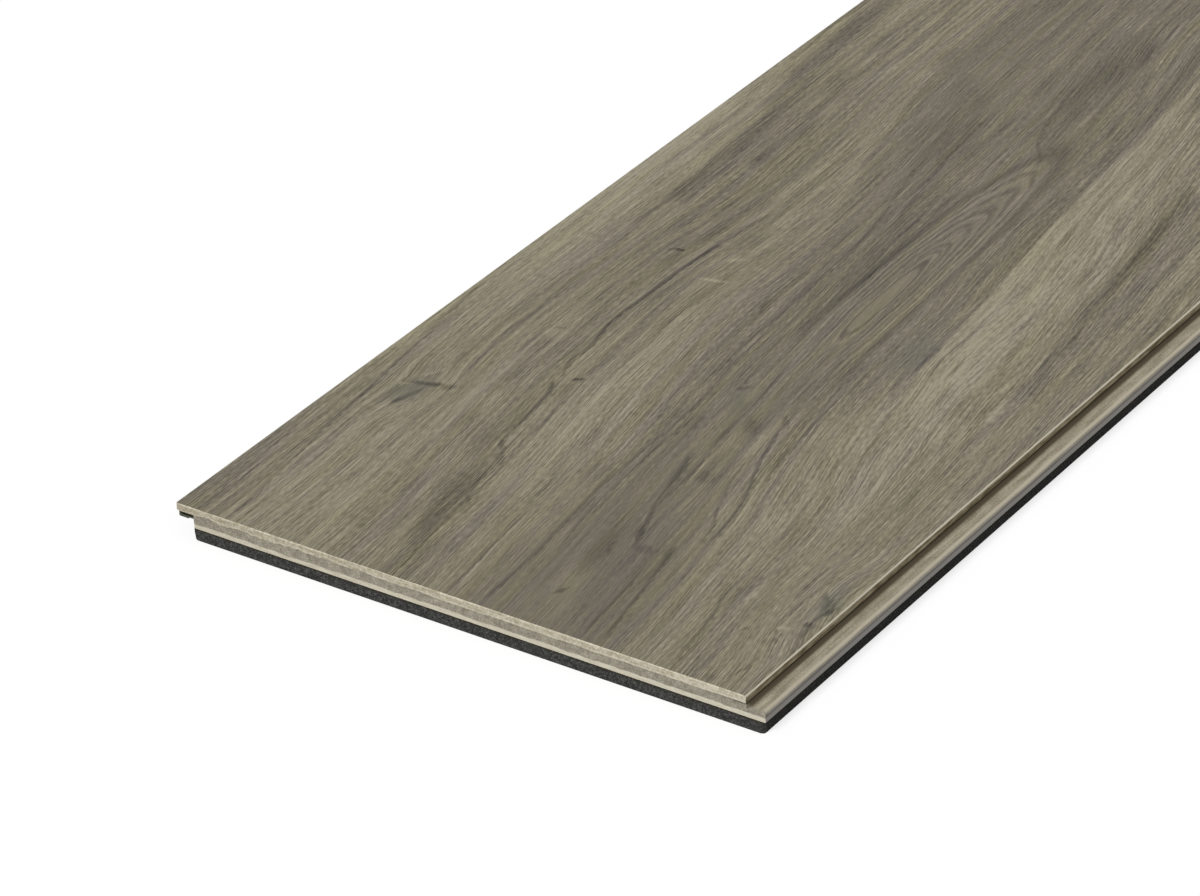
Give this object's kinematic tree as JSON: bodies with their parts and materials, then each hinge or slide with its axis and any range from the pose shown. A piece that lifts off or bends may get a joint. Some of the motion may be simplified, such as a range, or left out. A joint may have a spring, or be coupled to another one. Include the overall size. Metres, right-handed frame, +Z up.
{
  "type": "vinyl floor plank",
  "caption": "Click-together vinyl floor plank with a wood-look printed face, a rigid core with tongue and lip edges, a backing layer and an attached foam pad.",
  "frame": {"origin": "middle of the underside of the whole plank, lip included", "axes": "+Y along the plank's length, +X across it towards the lower lip, +Z up out of the printed face"},
  "size_m": [0.155, 1.22, 0.008],
  "materials": {
    "printed_vinyl": "matt embossed wear layer over a grey-brown wood-grain print, cream at the cut ends",
    "core_compound": "dull grey-beige mineral-filled compound, speckled where it is cut",
    "backing_vinyl": "dull cream vinyl",
    "pad_foam": "matt charcoal closed-cell foam"
  },
  "bodies": {
    "root": {"vinyl_top_layer": "printed_vinyl", "rigid_core": "core_compound", "backing_layer": "backing_vinyl", "foam_pad": "pad_foam"}
  },
  "joints": []
}
